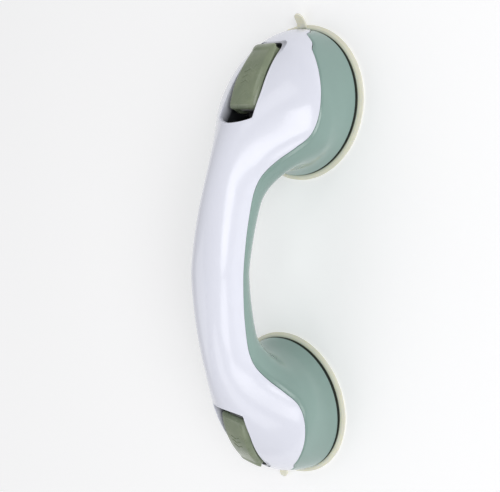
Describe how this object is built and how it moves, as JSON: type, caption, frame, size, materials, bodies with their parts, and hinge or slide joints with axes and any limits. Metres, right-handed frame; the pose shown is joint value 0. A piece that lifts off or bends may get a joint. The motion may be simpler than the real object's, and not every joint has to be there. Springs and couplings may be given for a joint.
{
  "type": "suction grab bar",
  "caption": "Arched two-tone grab handle with a suction cup under a bell at each end and a flip lever on each bell that draws its cup tight.",
  "frame": {"origin": "midway between the two cup axes, on the plane of the cup lips", "axes": "+X along the grip, +Y across it, +Z away from the surface that the cups stick to"},
  "size_m": [0.301, 0.094, 0.0832],
  "materials": {
    "white_shell": "smooth moulded plastic, white with a cool tint",
    "green_shell": "smooth glossy moulded plastic, grey green",
    "lever_plastic": "satin moulded plastic, olive sage",
    "cup_vinyl": "soft pale cream vinyl, slightly translucent",
    "stud_plastic": "natural moulded plastic",
    "steel": "plain zinc plated steel"
  },
  "bodies": {
    "housing": {"upper_shell": "white_shell", "lower_shell": "green_shell", "cam_plate_a": "steel", "suction_cup_a": "cup_vinyl", "return_spring_a": "steel", "cam_plate_b": "steel", "suction_cup_b": "cup_vinyl", "return_spring_b": "steel", "shell_screw_a1": "steel", "shell_screw_a2": "steel", "shell_screw_a3": "steel", "shell_screw_b1": "steel", "shell_screw_b2": "steel", "shell_screw_b3": "steel"},
    "stud_a": {"stud_a": "stud_plastic", "hub_washer_a": "steel"},
    "lever_a": {"lever_a": "lever_plastic", "lever_pin_a": "steel"},
    "stud_b": {"stud_b": "stud_plastic", "hub_washer_b": "steel"},
    "lever_b": {"lever_b": "lever_plastic", "lever_pin_b": "steel"}
  },
  "joints": [
    {"name": "stud_a_slide", "type": "slide", "parent": "housing", "child": "stud_a", "axis": [0, 0, -1], "range_m": [0, 0.0035], "deforming": ["return_spring_a", "suction_cup_a"]},
    {"name": "lever_a_flip", "type": "hinge", "parent": "stud_a", "child": "lever_a", "pos_m": [0.0975, 0, 0.04509], "axis": [0, -1, 0], "range_deg": [0, 85]},
    {"name": "stud_b_slide", "type": "slide", "parent": "housing", "child": "stud_b", "axis": [0, 0, -1], "range_m": [0, 0.0035], "deforming": ["return_spring_b", "suction_cup_b"]},
    {"name": "lever_b_flip", "type": "hinge", "parent": "stud_b", "child": "lever_b", "pos_m": [-0.0975, 0, 0.04509], "axis": [0, 1, 0], "range_deg": [0, 85]}
  ],
  "couplings": [
    {"joint": "lever_a_flip", "follows": "stud_a_slide", "rad_per_m": 423.8},
    {"joint": "lever_b_flip", "follows": "stud_b_slide", "rad_per_m": 423.8}
  ]
}
